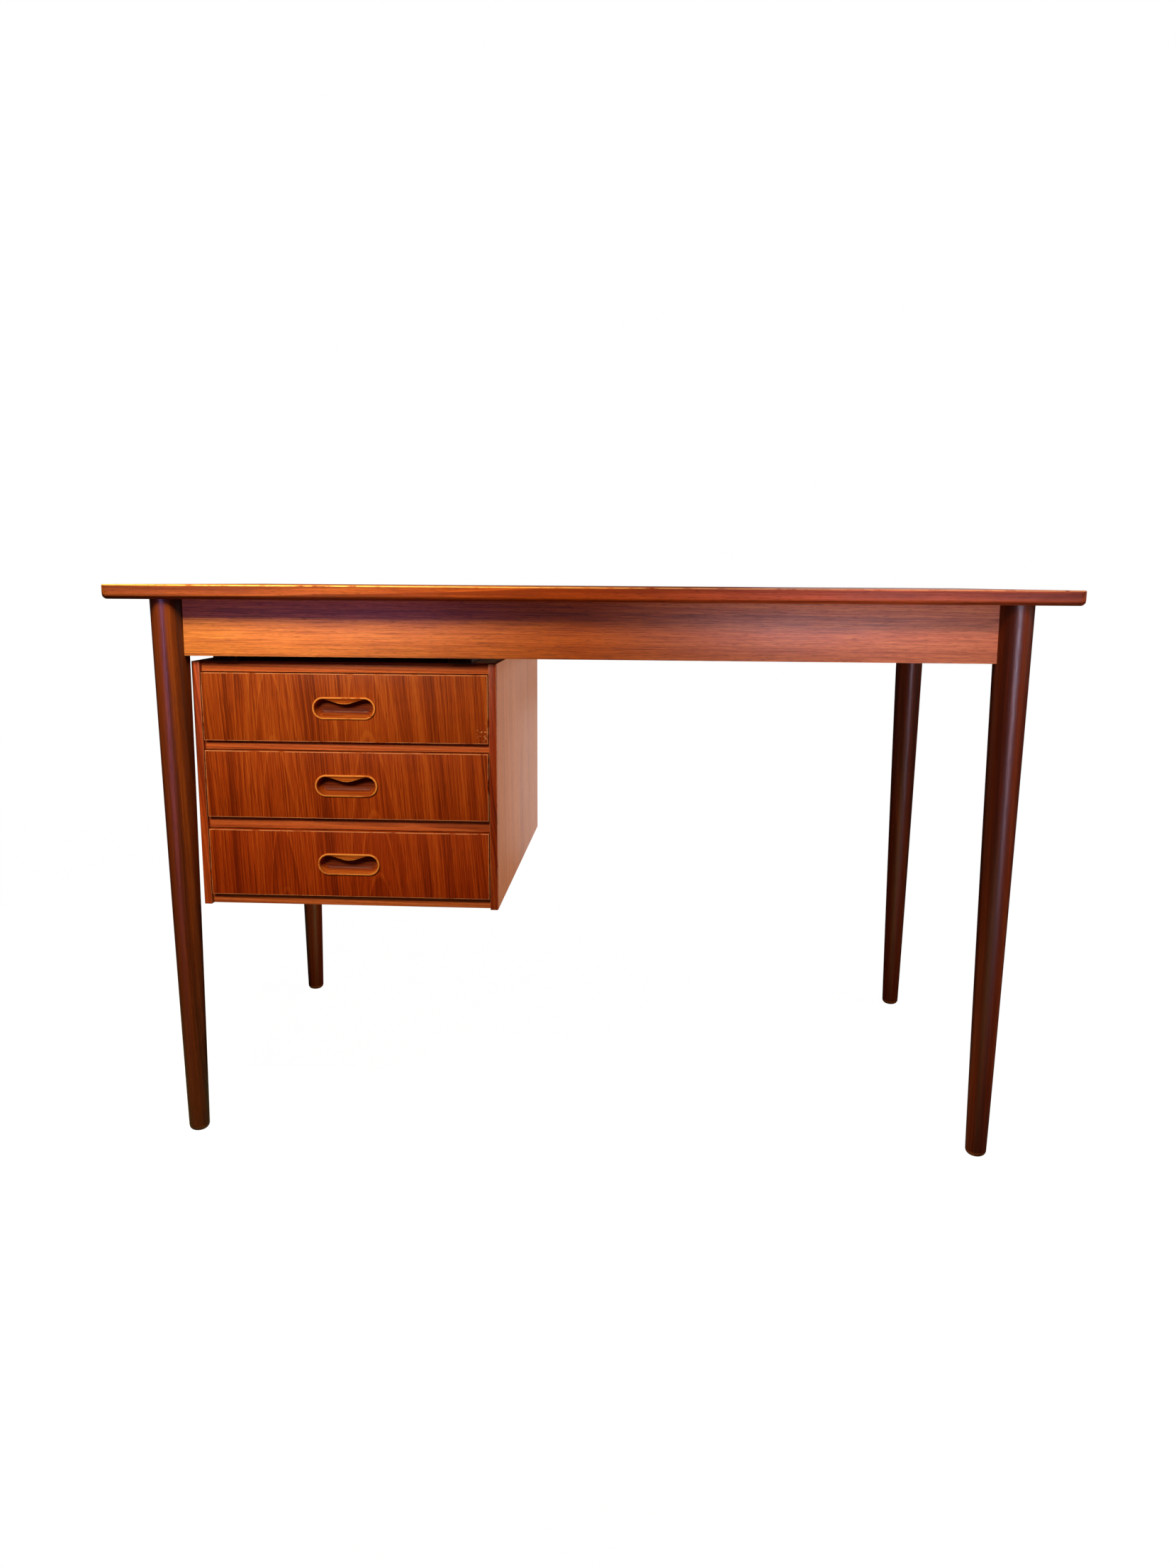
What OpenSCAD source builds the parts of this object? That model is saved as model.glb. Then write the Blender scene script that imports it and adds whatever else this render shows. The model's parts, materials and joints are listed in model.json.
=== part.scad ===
// Writing desk on four round tapered legs, with a cabinet of three drawers hung under its left end.
// Millimetres. X runs left to right, Y from the sitter's side to the back, Z up.
// The origin is on the floor, under the middle of the top.

/* [Desk] */
// Length of the top, left to right
desk_w = 1190; // [1140:10:1400]
// Depth of the top, front to back
desk_d = 592; // [592:2:640]
// Height of the writing surface above the floor
desk_h = 730; // [710:5:770]

/* [Top] */
// Thickness of the top
top_t = 18; // [17:1:22]
// Width of the solid edging round the top
edging_w = 12; // [9:1:20]
// Corner radius of the top, seen from above
top_corner_r = 8; // [3:1:10]
// Radius of the rounded lower edge
lower_edge_r = 6; // [2:0.5:7]
// Radius of the eased upper edge
upper_edge_r = 1.5; // [0.5:0.5:3]

/* [Legs] */
// Radius of a leg where it meets the top
leg_top_r = 22.5; // [20:0.5:23.5]
// Radius of a leg at the floor
leg_foot_r = 13.2; // [10:0.2:16]
// Swell of a leg at half its height, beyond a straight taper
leg_swell = 0.7; // [0:0.1:1]
// Radius of the eased edge of the foot
foot_edge_r = 7; // [2:0.5:8]
// From the end of the top to a leg's axis
leg_inset_side = 75; // [60:1:100]
// From the front of the top to a leg's axis
leg_inset_front = 28; // [24:1:28]

/* [Apron] */
// Height of the apron
apron_h = 70; // [64:1:84]
// Thickness of the apron
apron_t = 18; // [16:1:20]

/* [Cabinet] */
// Width of the drawer cabinet
cabinet_w = 391; // [370:1:400]
// Depth of the drawer cabinet
cabinet_d = 512; // [500:2:512]
// From the left leg's axis to the cabinet's left side
cabinet_inset = 19; // [19:1:40]
// Open gap between the apron and the cabinet
cabinet_drop = 8; // [4:1:14]
// Thickness of the cabinet's side panels
panel_t = 10; // [9:0.5:14]
// Thickness of the cabinet's top and bottom boards and their front rails
board_t = 13.4; // [12:0.1:16]
// Height of the upper divider rail, between the first and second drawers
upper_divider_h = 11.4; // [10:0.1:16]
// Height of the lower divider rail, between the second and third drawers
lower_divider_h = 15.1; // [10:0.1:18]
// How far the rails sit behind the drawer fronts
rail_recess = 8; // [4:1:12]

/* [Drawers] */
// Height of a drawer front
drawer_h = 87.5; // [80:0.5:92]
// Overall length of a drawer, front to back
drawer_d = 480; // [440:5:480]
// Thickness of a drawer front
front_t = 18; // [16:1:20]
// Thickness of the drawer sides and backs
side_t = 9; // [8:0.5:11]
// Height of the drawer sides
side_h = 78; // [70:1:78]
// Gap beside each drawer
side_gap = 1; // [0.5:0.1:2]
// Gap over each drawer front
over_gap = 1; // [0.6:0.1:2]
// Gap under each drawer
under_gap = 0.6; // [0.4:0.1:1]

/* [Pulls] */
// Length of a pull across its rim
pull_w = 82; // [70:1:100]
// Height of a pull across its rim
pull_h = 29; // [26:1:34]
// How far the rim stands out of the drawer front
rim_proud = 2.5; // [1:0.5:4]
// How far the finger lip hangs down from the rim
lip_drop = 6.5; // [4:0.5:8]

/* [Hidden] */
$fn = 64;

// Depth added to a cut so that it runs clean out of the wood
cut = 1;

// Legs and apron
leg_x = desk_w / 2 - leg_inset_side;
leg_y = desk_d / 2 - leg_inset_front;
leg_h = desk_h - top_t;
leg_steps = 12;
apron_z = leg_h - apron_h;
// The apron's ends are housed in the legs, this far from each leg's axis
apron_end = 12;
apron_in_x = leg_x - apron_t / 2;
apron_in_y = leg_y - apron_t / 2;

// Dowels
dowel_r = 4;
apron_dowel_l = 40;
// How far an apron dowel reaches past the leg's axis
dowel_past_axis = 2;
// Heights above the apron's lower edge, staggered so that they miss each other inside the leg
long_apron_dowels = [15, 50];
side_apron_dowels = [27, 62];
bearer_dowel_l = 30;
bearer_dowel_in_apron = 12;
bearer_dowels_z = [18, 52];

// Corner blocks
corner_block_h = 45;
corner_block_from = 20;
corner_block_to = 38;

// Wooden buttons that hold the top down
button = [30, 36, 14];
button_tongue = [30, 8, 6];
button_slot_play = 0.5;
button_x = [-300, 60, 320];

// Wood screws: length, radius, head radius, head height
button_screw = [25, 2, 4, 2.6];
cabinet_screw = [45, 2.5, 5, 3];

// Cabinet
cabinet_x = -leg_x + cabinet_inset + cabinet_w / 2;
cabinet_front = -cabinet_d / 2;
cabinet_top_z = apron_z - cabinet_drop;
opening_w = cabinet_w - 2 * panel_t;
rail_front = cabinet_front + rail_recess;
rail_d = 22;
divider_d = 40;
// How far the boards, rails and back are housed in the side panels
housing = 4;
back_t = 6;
// The back panel sits this far inside the rear edges of the side panels
back_set_in = 4;
back_front = cabinet_d / 2 - back_set_in - back_t;
lipping_d = 6;
runner_w = 14;
runner_end_gap = 6;
runner_d = back_front - runner_end_gap - (rail_front + divider_d);
bearer_w = 30;
bearer_h = leg_h - cabinet_top_z;
// From the cabinet's side to the bearer over it
bearer_inset = 30;
// Cabinet screws stand this far either side of the middle
screw_y = 150;

// Drawer openings, from the top down: the lower edge of each drawer
top_drawer_z = cabinet_top_z - board_t - over_gap - drawer_h;
upper_divider_z = top_drawer_z - under_gap - upper_divider_h;
middle_drawer_z = upper_divider_z - over_gap - drawer_h;
lower_divider_z = middle_drawer_z - under_gap - lower_divider_h;
bottom_drawer_z = lower_divider_z - over_gap - drawer_h;
cabinet_bottom_z = bottom_drawer_z - under_gap - board_t;
cabinet_h = cabinet_top_z - cabinet_bottom_z;

// Drawers
drawer_w = opening_w - 2 * side_gap;
// Dovetails of the sides into the front: depth, number, and width at the neck and at the tip
lap = 10;
tails = 3;
tail_neck = 13;
tail_tip = 17;
// The bottom runs in grooves in the sides and front, this far above their lower edges
bottom_t = 5;
bottom_up = 8;
groove = 4;
front_groove = 6;
// The back is housed in the sides, inside their rear ends and below their upper edges
back_inset = 8;
back_down = 6;
stop_gap = 0.4;
stop_w = 20;
stop_h = 30;

// Pulls
// The rim laps over the edge of its pocket by this much all round
pull_set = 2;
pocket_d = 14;
wall = 3;
floor_t = 3;
lip_t = 5;
lip_w = 52;
lip_steps = 16;

// Shared shapes

function arc(c, r, from, to, steps) =
    [for (i = [0:steps]) let (a = from + (to - from) * i / steps) c + r * [cos(a), sin(a)]];

// Outline of the top's cross section, with an eased upper edge and a rounder lower one
module top_section(width) {
    half = width / 2;
    low = lower_edge_r;
    high = upper_edge_r;
    polygon(concat(
        arc([-half + low, low], low, 270, 180, 6),
        arc([-half + high, top_t - high], high, 180, 90, 3),
        arc([half - high, top_t - high], high, 90, 0, 3),
        arc([half - low, low], low, 0, -90, 6)));
}

module rounded_plan(w, d, r) {
    square([w - 2 * r, d], center = true);
    square([w, d - 2 * r], center = true);
    for (sx = [-1, 1], sy = [-1, 1]) translate([sx * (w / 2 - r), sy * (d / 2 - r)]) circle(r);
}

// A stadium lying along X and facing the sitter, cut from y upwards for a depth
module stadium(w, h, y, depth) {
    translate([0, y, 0]) rotate([90, 0, 0]) translate([0, 0, -depth]) linear_extrude(depth) {
        square([w - h, h], center = true);
        for (s = [-1, 1]) translate([s * (w - h) / 2, 0]) circle(h / 2);
    }
}

module dowel_x(from, length) {
    translate([from, 0, 0]) rotate([0, 90, 0]) cylinder(r = dowel_r, h = length, $fn = 32);
}

module dowel_y(from, length) {
    translate([0, from, 0]) rotate([-90, 0, 0]) cylinder(r = dowel_r, h = length, $fn = 32);
}

// A countersunk wood screw that points up
module wood_screw(size) {
    cylinder(r = size[1], h = size[0], $fn = 24);
    cylinder(r1 = size[2], r2 = size[1], h = size[3], $fn = 24);
}

// Top

module top_blank() {
    intersection() {
        translate([0, desk_d / 2 + cut, leg_h]) rotate([90, 0, 0])
            linear_extrude(desk_d + 2 * cut) top_section(desk_w);
        translate([-desk_w / 2 - cut, 0, leg_h]) rotate([90, 0, 90])
            linear_extrude(desk_w + 2 * cut) top_section(desk_d);
        translate([0, 0, leg_h - cut]) linear_extrude(top_t + 2 * cut)
            rounded_plan(desk_w, desk_d, top_corner_r);
    }
}

module core_plan(height) {
    translate([0, 0, leg_h]) linear_extrude(height)
        square([desk_w - 2 * edging_w, desk_d - 2 * edging_w], center = true);
}

// Region of one mitred strip of edging along a side of length w, at distance d from the middle
module mitre_region(w, d) {
    translate([0, 0, leg_h - cut]) linear_extrude(top_t + 2 * cut) polygon([
        [-w / 2 - cut, -d / 2 - cut],
        [w / 2 + cut, -d / 2 - cut],
        [w / 2 - edging_w, -d / 2 + edging_w],
        [-w / 2 + edging_w, -d / 2 + edging_w]]);
}

module edging(turn, w, d) {
    color("sienna") difference() {
        intersection() {
            top_blank();
            rotate(turn) mitre_region(w, d);
        }
        translate([0, 0, -cut]) core_plan(top_t + 2 * cut);
    }
}

module top_panel() {
    color("sienna") difference() {
        core_plan(top_t);
        button_screw_set();
    }
}

module top_edging_front() { edging(0, desk_w, desk_d); }
module top_edging_back() { edging(180, desk_w, desk_d); }
module top_edging_left() { edging(-90, desk_d, desk_w); }
module top_edging_right() { edging(90, desk_d, desk_w); }

// Legs and apron

function leg_r(z) =
    let (t = z / leg_h) leg_foot_r + (leg_top_r - leg_foot_r) * t + leg_swell * 4 * t * (1 - t);

module leg(sx, sy) {
    foot_r = leg_r(foot_edge_r);
    color("saddlebrown") difference() {
        translate([sx * leg_x, sy * leg_y, 0]) rotate_extrude($fn = 96) polygon(concat(
            [[0, 0]],
            arc([foot_r - foot_edge_r, foot_edge_r], foot_edge_r, 270, 360, 4),
            [for (i = [1:leg_steps]) let (z = leg_h * i / leg_steps) [leg_r(z), z]],
            [[0, leg_h]]));
        // Housings for the ends of the two aprons
        translate([sx * (leg_x - apron_end - leg_top_r / 2), sy * leg_y, apron_z + (apron_h + cut) / 2])
            cube([leg_top_r, apron_t, apron_h + cut], center = true);
        translate([sx * leg_x, sy * (leg_y - apron_end - leg_top_r / 2), apron_z + (apron_h + cut) / 2])
            cube([apron_t, leg_top_r, apron_h + cut], center = true);
        corner_dowels(sx, sy);
    }
}

// The four dowels that hold two aprons in one leg
module corner_dowels(sx, sy) {
    for (h = long_apron_dowels) translate([sx * leg_x, sy * leg_y, apron_z + h])
        mirror([sx > 0 ? 1 : 0, 0, 0]) dowel_x(-dowel_past_axis, apron_dowel_l);
    for (h = side_apron_dowels) translate([sx * leg_x, sy * leg_y, apron_z + h])
        mirror([0, sy > 0 ? 1 : 0, 0]) dowel_y(-dowel_past_axis, apron_dowel_l);
}

module all_corner_dowels() {
    for (sx = [-1, 1], sy = [-1, 1]) corner_dowels(sx, sy);
}

module leg_front_left() { leg(-1, -1); }
module leg_front_right() { leg(1, -1); }
module leg_back_left() { leg(-1, 1); }
module leg_back_right() { leg(1, 1); }

module long_apron(sy) {
    color("peru") difference() {
        translate([0, sy * leg_y, apron_z + apron_h / 2])
            cube([2 * (leg_x - apron_end), apron_t, apron_h], center = true);
        all_corner_dowels();
        bearer_dowel_set();
        button_slots();
    }
}

module side_apron(sx) {
    color("peru") difference() {
        translate([sx * leg_x, 0, apron_z + apron_h / 2])
            cube([apron_t, 2 * (leg_y - apron_end), apron_h], center = true);
        all_corner_dowels();
    }
}

module apron_front() { long_apron(-1); }
module apron_back() { long_apron(1); }
module apron_left() { side_apron(-1); }
module apron_right() { side_apron(1); }

module apron_dowels() {
    color("burlywood") all_corner_dowels();
}

// A diagonal block glued into a corner between two aprons
module corner_block(sx, sy) {
    near = corner_block_from;
    far = corner_block_to;
    color("tan") mirror([sx > 0 ? 1 : 0, 0, 0]) mirror([0, sy > 0 ? 1 : 0, 0])
        translate([-apron_in_x, -apron_in_y, leg_h - corner_block_h])
            linear_extrude(corner_block_h) polygon([[near, 0], [far, 0], [0, far], [0, near]]);
}

module corner_block_front_left() { corner_block(-1, -1); }
module corner_block_front_right() { corner_block(1, -1); }
module corner_block_back_left() { corner_block(-1, 1); }
module corner_block_back_right() { corner_block(1, 1); }

// Buttons that hold the top

module at_buttons() {
    for (x = button_x, sy = [-1, 1]) translate([x, 0, leg_h]) mirror([0, sy > 0 ? 1 : 0, 0])
        translate([0, -apron_in_y, 0]) children();
}

module button_screw_set() {
    at_buttons() translate([0, button[1] / 2, -button[2]]) wood_screw(button_screw);
}

module button_slots() {
    play = button_slot_play;
    at_buttons() translate([0, 0, -button[2] + button_tongue[2] / 2]) cube([
        button_tongue[0] + 2 * play,
        2 * (button_tongue[1] + play),
        button_tongue[2] + 2 * play], center = true);
}

module top_buttons() {
    play = button_slot_play;
    color("tan") difference() {
        at_buttons() {
            translate([-button[0] / 2, play, -button[2]])
                cube([button[0], button[1] - play, button[2]]);
            translate([-button_tongue[0] / 2, -button_tongue[1], -button[2]])
                cube([button_tongue[0], button_tongue[1] + cut, button_tongue[2]]);
        }
        button_screw_set();
    }
}

module button_screws() {
    color("silver") button_screw_set();
}

// Cabinet

function bearer_x(s) = cabinet_x + s * (cabinet_w / 2 - bearer_inset - bearer_w / 2);

module bearer_dowel_set() {
    for (s = [-1, 1], sy = [-1, 1], h = bearer_dowels_z)
        translate([bearer_x(s), 0, apron_z + h]) mirror([0, sy > 0 ? 1 : 0, 0])
            dowel_y(-apron_in_y - bearer_dowel_in_apron, bearer_dowel_l);
}

module cabinet_screw_set() {
    for (s = [-1, 1], y = [-screw_y, screw_y])
        translate([bearer_x(s), y, cabinet_top_z - board_t]) wood_screw(cabinet_screw);
}

// A cross bearer between the aprons: the cabinet hangs from it
module bearer(s) {
    color("tan") difference() {
        translate([bearer_x(s), 0, cabinet_top_z + bearer_h / 2])
            cube([bearer_w, 2 * apron_in_y, bearer_h], center = true);
        bearer_dowel_set();
        cabinet_screw_set();
    }
}

module bearer_left() { bearer(-1); }
module bearer_right() { bearer(1); }

module bearer_dowels() {
    color("burlywood") bearer_dowel_set();
}

module cabinet_screws() {
    color("silver") cabinet_screw_set();
}

// A board or rail across the cabinet, housed in both side panels
module across(y, depth, z, height) {
    translate([cabinet_x - opening_w / 2 - housing, y, z]) cube([opening_w + 2 * housing, depth, height]);
}

module top_rail_shape() { across(rail_front, rail_d, cabinet_top_z - board_t, board_t); }
module upper_divider_shape() { across(rail_front, divider_d, upper_divider_z, upper_divider_h); }
module lower_divider_shape() { across(rail_front, divider_d, lower_divider_z, lower_divider_h); }
module bottom_rail_shape() { across(rail_front, rail_d, cabinet_bottom_z, board_t); }
module back_shape() { across(back_front, back_t, cabinet_bottom_z, cabinet_h); }

module board_shape(z) {
    across(rail_front + rail_d, back_front - rail_front - rail_d, z, board_t);
}

module cabinet_side(s) {
    color("rosybrown") difference() {
        translate([cabinet_x + s * (cabinet_w - panel_t) / 2, lipping_d / 2, cabinet_bottom_z + cabinet_h / 2])
            cube([panel_t, cabinet_d - lipping_d, cabinet_h], center = true);
        top_rail_shape();
        upper_divider_shape();
        lower_divider_shape();
        bottom_rail_shape();
        back_shape();
        board_shape(cabinet_top_z - board_t);
        board_shape(cabinet_bottom_z);
    }
}

module cabinet_lipping(s) {
    color("firebrick") translate([
        cabinet_x + s * (cabinet_w - panel_t) / 2,
        cabinet_front + lipping_d / 2,
        cabinet_bottom_z + cabinet_h / 2]) cube([panel_t, lipping_d, cabinet_h], center = true);
}

// A strip on a side panel that carries the drawer above it and keeps the one below from tipping
module runner(s, z, height) {
    color("tan") translate([
        cabinet_x + s * (opening_w - runner_w) / 2,
        rail_front + divider_d + runner_d / 2,
        z + height / 2]) cube([runner_w, runner_d, height], center = true);
}

module cabinet_side_left() { cabinet_side(-1); }
module cabinet_side_right() { cabinet_side(1); }
module cabinet_lipping_left() { cabinet_lipping(-1); }
module cabinet_lipping_right() { cabinet_lipping(1); }
module cabinet_bottom() { color("tan") board_shape(cabinet_bottom_z); }
module cabinet_back() { color("tan") back_shape(); }
module top_rail() { color("sienna") top_rail_shape(); }
module upper_divider_rail() { color("sienna") upper_divider_shape(); }
module lower_divider_rail() { color("sienna") lower_divider_shape(); }
module bottom_rail() { color("sienna") bottom_rail_shape(); }
module upper_runner_left() { runner(-1, upper_divider_z, upper_divider_h); }
module upper_runner_right() { runner(1, upper_divider_z, upper_divider_h); }
module lower_runner_left() { runner(-1, lower_divider_z, lower_divider_h); }
module lower_runner_right() { runner(1, lower_divider_z, lower_divider_h); }

module cabinet_top() {
    color("tan") difference() {
        board_shape(cabinet_top_z - board_t);
        cabinet_screw_set();
    }
}

// Blocks on the back panel that stop each drawer with its front flush
module drawer_stops() {
    from = cabinet_front + drawer_d + stop_gap;
    color("tan") for (z = [top_drawer_z, middle_drawer_z, bottom_drawer_z], s = [-1, 1])
        translate([cabinet_x + s * (drawer_w - stop_w) / 2, (from + back_front) / 2, z + drawer_h / 2])
            cube([stop_w, back_front - from, stop_h], center = true);
}

// Drawers

// The dovetails at the front end of a drawer side, seen from the side: y across, z up
module tails_outline() {
    for (i = [0:tails - 1]) {
        z = side_h * (i + 0.5) / tails;
        polygon([[lap, z - tail_neck / 2], [lap, z + tail_neck / 2], [0, z + tail_tip / 2], [0, z - tail_tip / 2]]);
    }
}

// A flat piece of a drawer side's thickness at one end of the drawer, from an outline in y and z
module at_drawer_end(s, z) {
    translate([cabinet_x + s * drawer_w / 2 - (s > 0 ? side_t : 0), cabinet_front + front_t - lap, z])
        rotate([90, 0, 90]) linear_extrude(side_t) children();
}

module drawer_bottom_shape(z) {
    w = drawer_w - 2 * side_t + 2 * groove;
    from = cabinet_front + front_t - front_groove;
    translate([cabinet_x - w / 2, from, z + bottom_up])
        cube([w, cabinet_front + drawer_d - from, bottom_t]);
}

module drawer_back_shape(z) {
    w = drawer_w - 2 * side_t + 2 * groove;
    low = bottom_up + bottom_t;
    translate([cabinet_x - w / 2, cabinet_front + drawer_d - back_inset - side_t, z + low])
        cube([w, side_t, side_h - low - back_down]);
}

module drawer_front(z) {
    color("chocolate") difference() {
        translate([cabinet_x - drawer_w / 2, cabinet_front, z]) cube([drawer_w, front_t, drawer_h]);
        for (s = [-1, 1]) at_drawer_end(s, z) tails_outline();
        drawer_bottom_shape(z);
        translate([cabinet_x, 0, z + drawer_h / 2])
            stadium(pull_w - 2 * pull_set, pull_h - 2 * pull_set, cabinet_front, pocket_d);
    }
}

module drawer_side(s, z) {
    color("wheat") difference() {
        at_drawer_end(s, z) {
            tails_outline();
            translate([lap, 0]) square([drawer_d - front_t, side_h]);
        }
        drawer_bottom_shape(z);
        drawer_back_shape(z);
    }
}

module drawer_back(z) {
    color("wheat") drawer_back_shape(z);
}

module drawer_bottom(z) {
    color("wheat") drawer_bottom_shape(z);
}

// Front opening of a pull: the hollow's outline with the finger lip hanging into it
module lip_outline() {
    hollow_h = pull_h - 2 * wall;
    translate([0, hollow_h / 2]) polygon(concat(
        [[-lip_w / 2, cut], [-lip_w / 2, 0]],
        [for (i = [1:lip_steps - 1]) let (t = i / lip_steps)
            [lip_w * (t - 0.5), -lip_drop * (1 - cos(360 * t)) / 2]],
        [[lip_w / 2, 0], [lip_w / 2, cut]]));
}

// A pull let into a drawer front: a raised rim, a hollow for the fingers and a lip to hook them behind
module drawer_pull(z) {
    hollow_w = pull_w - 2 * wall;
    hollow_h = pull_h - 2 * wall;
    rim_y = cabinet_front - rim_proud;
    color("sienna") translate([cabinet_x, 0, z + drawer_h / 2]) {
        difference() {
            union() {
                stadium(pull_w, pull_h, rim_y, rim_proud);
                stadium(pull_w - 2 * pull_set, pull_h - 2 * pull_set, rim_y, rim_proud + pocket_d);
            }
            stadium(hollow_w, hollow_h, rim_y - cut, cut + rim_proud + pocket_d - floor_t);
        }
        intersection() {
            translate([0, rim_y, 0]) rotate([90, 0, 0]) translate([0, 0, -lip_t])
                linear_extrude(lip_t) lip_outline();
            stadium(pull_w - wall, pull_h - wall, rim_y, lip_t);
        }
    }
}

module top_drawer_front() { drawer_front(top_drawer_z); }
module top_drawer_pull() { drawer_pull(top_drawer_z); }
module top_drawer_side_left() { drawer_side(-1, top_drawer_z); }
module top_drawer_side_right() { drawer_side(1, top_drawer_z); }
module top_drawer_back() { drawer_back(top_drawer_z); }
module top_drawer_bottom() { drawer_bottom(top_drawer_z); }
module middle_drawer_front() { drawer_front(middle_drawer_z); }
module middle_drawer_pull() { drawer_pull(middle_drawer_z); }
module middle_drawer_side_left() { drawer_side(-1, middle_drawer_z); }
module middle_drawer_side_right() { drawer_side(1, middle_drawer_z); }
module middle_drawer_back() { drawer_back(middle_drawer_z); }
module middle_drawer_bottom() { drawer_bottom(middle_drawer_z); }
module bottom_drawer_front() { drawer_front(bottom_drawer_z); }
module bottom_drawer_pull() { drawer_pull(bottom_drawer_z); }
module bottom_drawer_side_left() { drawer_side(-1, bottom_drawer_z); }
module bottom_drawer_side_right() { drawer_side(1, bottom_drawer_z); }
module bottom_drawer_back() { drawer_back(bottom_drawer_z); }
module bottom_drawer_bottom() { drawer_bottom(bottom_drawer_z); }

top_panel();
top_edging_front();
top_edging_back();
top_edging_left();
top_edging_right();
leg_front_left();
leg_front_right();
leg_back_left();
leg_back_right();
apron_front();
apron_back();
apron_left();
apron_right();
corner_block_front_left();
corner_block_front_right();
corner_block_back_left();
corner_block_back_right();
apron_dowels();
top_buttons();
button_screws();
bearer_left();
bearer_right();
bearer_dowels();
cabinet_screws();
cabinet_side_left();
cabinet_side_right();
cabinet_lipping_left();
cabinet_lipping_right();
cabinet_top();
cabinet_bottom();
cabinet_back();
top_rail();
upper_divider_rail();
lower_divider_rail();
bottom_rail();
upper_runner_left();
upper_runner_right();
lower_runner_left();
lower_runner_right();
drawer_stops();
top_drawer_front();
top_drawer_pull();
top_drawer_side_left();
top_drawer_side_right();
top_drawer_back();
top_drawer_bottom();
middle_drawer_front();
middle_drawer_pull();
middle_drawer_side_left();
middle_drawer_side_right();
middle_drawer_back();
middle_drawer_bottom();
bottom_drawer_front();
bottom_drawer_pull();
bottom_drawer_side_left();
bottom_drawer_side_right();
bottom_drawer_back();
bottom_drawer_bottom();
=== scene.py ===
# Writing desk with three drawers, in teak, on round tapered legs.
# Metres. X runs left to right, Y from the sitter to the back, Z up from the floor.
import json
import math

import bmesh
import bpy
from mathutils import Matrix, Vector


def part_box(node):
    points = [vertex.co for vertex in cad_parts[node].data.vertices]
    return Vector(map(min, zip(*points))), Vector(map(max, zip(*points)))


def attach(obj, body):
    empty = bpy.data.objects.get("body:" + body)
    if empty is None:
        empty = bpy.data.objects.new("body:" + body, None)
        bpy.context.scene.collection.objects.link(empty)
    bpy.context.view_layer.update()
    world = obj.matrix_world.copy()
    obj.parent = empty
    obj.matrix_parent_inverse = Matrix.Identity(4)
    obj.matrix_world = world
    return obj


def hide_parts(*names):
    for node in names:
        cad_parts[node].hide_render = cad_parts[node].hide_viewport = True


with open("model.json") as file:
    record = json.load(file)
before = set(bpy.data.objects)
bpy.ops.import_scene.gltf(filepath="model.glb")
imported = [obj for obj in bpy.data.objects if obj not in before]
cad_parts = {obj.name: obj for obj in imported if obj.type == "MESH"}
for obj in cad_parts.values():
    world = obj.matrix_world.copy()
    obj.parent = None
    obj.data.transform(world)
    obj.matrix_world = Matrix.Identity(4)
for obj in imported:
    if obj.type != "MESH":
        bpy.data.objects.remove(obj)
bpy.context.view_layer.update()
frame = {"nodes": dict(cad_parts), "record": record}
mm = 0.001
print("frame loaded:", len(frame["nodes"]), "CAD nodes")


# Small helpers that put material nodes together.

def addNode(tree, kind, inputs=(), **settings):
    made = tree.nodes.new(kind)
    for key, value in settings.items():
        setattr(made, key, value)
    for key, value in dict(inputs).items():
        if isinstance(value, bpy.types.NodeSocket):
            tree.links.new(value, made.inputs[key])
        else:
            made.inputs[key].default_value = value
    return made


def calc(tree, operation, first, second=0.0, third=0.0, clamp=False):
    values = {0: first, 1: second, 2: third}
    return addNode(tree, "ShaderNodeMath", values, operation=operation, use_clamp=clamp).outputs[0]


def offMiddle(tree, value):
    # a noise that swings either way round nought
    return calc(tree, "SUBTRACT", value, 0.5)


def remap(tree, value, low, high, newLow=0.0, newHigh=1.0, smooth=True):
    kind = "SMOOTHSTEP" if smooth else "LINEAR"
    values = {0: value, 1: low, 2: high, 3: newLow, 4: newHigh}
    return addNode(tree, "ShaderNodeMapRange", values, interpolation_type=kind).outputs[0]


def pulse(tree, value, rise, full, end, fall):
    # rises to its full height, and is gone again at the end
    return calc(tree, "MULTIPLY", remap(tree, value, rise, full), remap(tree, value, end, fall))


def blendColours(tree, share, first, second, how="MIX"):
    values = {0: share, 6: first, 7: second}
    made = addNode(tree, "ShaderNodeMix", values, data_type="RGBA", blend_type=how, clamp_factor=True)
    return made.outputs[2]


def joined(tree, x, y, z):
    return addNode(tree, "ShaderNodeCombineXYZ", {0: x, 1: y, 2: z}).outputs[0]


def stretched(tree, operation, place, amounts):
    return joined(tree, *(calc(tree, operation, part, amount) for part, amount in zip(place, amounts)))


def noise(tree, place, scale=1.0, detail=2.0, roughness=0.5):
    values = {"Vector": place, "Scale": scale, "Detail": detail, "Roughness": roughness}
    return addNode(tree, "ShaderNodeTexNoise", values, noise_dimensions="3D").outputs[0]


def lineNoise(tree, value, scale, detail=1.0):
    values = {"W": value, "Scale": scale, "Detail": detail}
    return addNode(tree, "ShaderNodeTexNoise", values, noise_dimensions="1D").outputs[0]


def ramp(tree, value, stops):
    made = addNode(tree, "ShaderNodeValToRGB", {0: value})
    band = made.color_ramp
    while len(band.elements) < len(stops):
        band.elements.new(0.5)
    for element, (place, colour) in zip(band.elements, stops):
        element.position = place
        element.color = (*colour, 1.0)
    return made.outputs[0]


def newMaterial(name):
    made = bpy.data.materials.new(name)
    made.use_nodes = True
    made.node_tree.nodes.clear()
    return made, made.node_tree


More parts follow.
